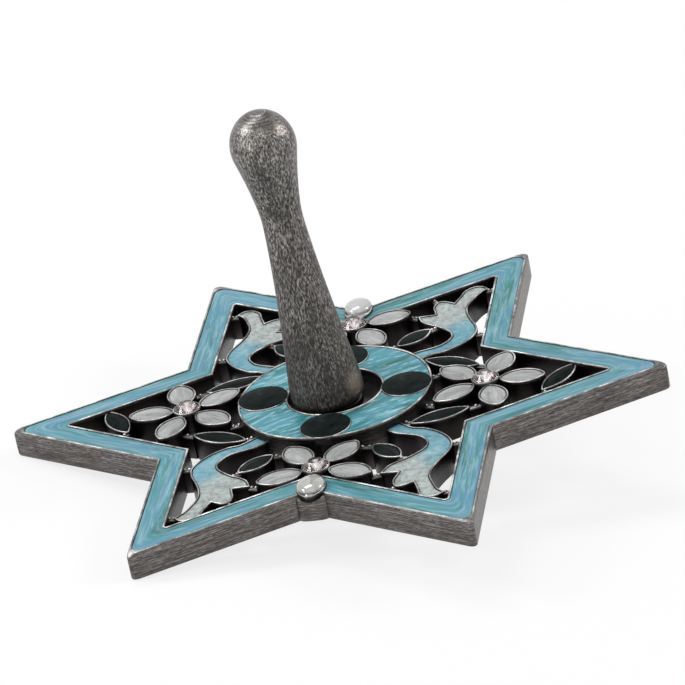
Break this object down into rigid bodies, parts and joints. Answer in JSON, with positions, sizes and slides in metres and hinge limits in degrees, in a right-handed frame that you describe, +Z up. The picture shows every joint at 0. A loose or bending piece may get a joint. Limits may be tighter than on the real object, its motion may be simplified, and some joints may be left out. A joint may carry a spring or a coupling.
{
  "type": "dreidel",
  "caption": "Star-shaped dreidel with pierced, enamelled scrollwork and clear stones in its star, a slim turned handle above and a spin point below.",
  "frame": {"origin": "tip of the spin point, on the spin axis", "axes": "+Z up the spin axis towards the handle, +X to one tip of the star, +Y to the notch between two tips"},
  "size_m": [0.076, 0.066, 0.0458],
  "materials": {
    "pewter": "cast pewter, brushed on the side walls",
    "handle_metal": "turned pewter with a fine speckle",
    "steel": "turned",
    "turquoise_enamel": "pearly gloss",
    "grey_enamel": "pearly gloss",
    "dark_enamel": "deep gloss",
    "blended_enamel": "turquoise that fades to pearl grey",
    "stone": "faceted, foil-backed"
  },
  "bodies": {
    "root": {"star_casting": "pewter", "rim_enamel_east": "turquoise_enamel", "rim_enamel_west": "turquoise_enamel", "ring_enamel_ne": "turquoise_enamel", "ring_enamel_nw": "turquoise_enamel", "ring_enamel_sw": "turquoise_enamel", "ring_enamel_se": "turquoise_enamel", "spot_east": "dark_enamel", "spot_north": "dark_enamel", "spot_west": "dark_enamel", "spot_south": "dark_enamel", "petals_east": "grey_enamel", "petals_north": "grey_enamel", "petals_west": "grey_enamel", "petals_south": "grey_enamel", "pearl_petal_north": "grey_enamel", "pearl_petal_south": "grey_enamel", "scroll_ne": "blended_enamel", "scroll_nw": "blended_enamel", "scroll_sw": "blended_enamel", "scroll_se": "blended_enamel", "tip_leaf_east": "dark_enamel", "tip_leaf_west": "dark_enamel", "ring_leaves_east": "dark_enamel", "ring_leaves_west": "dark_enamel", "notch_leaves_north": "dark_enamel", "notch_leaves_south": "dark_enamel", "stone_east": "stone", "stone_north": "stone", "stone_west": "stone", "stone_south": "stone", "handle": "handle_metal", "spin_point": "steel"}
  },
  "joints": []
}
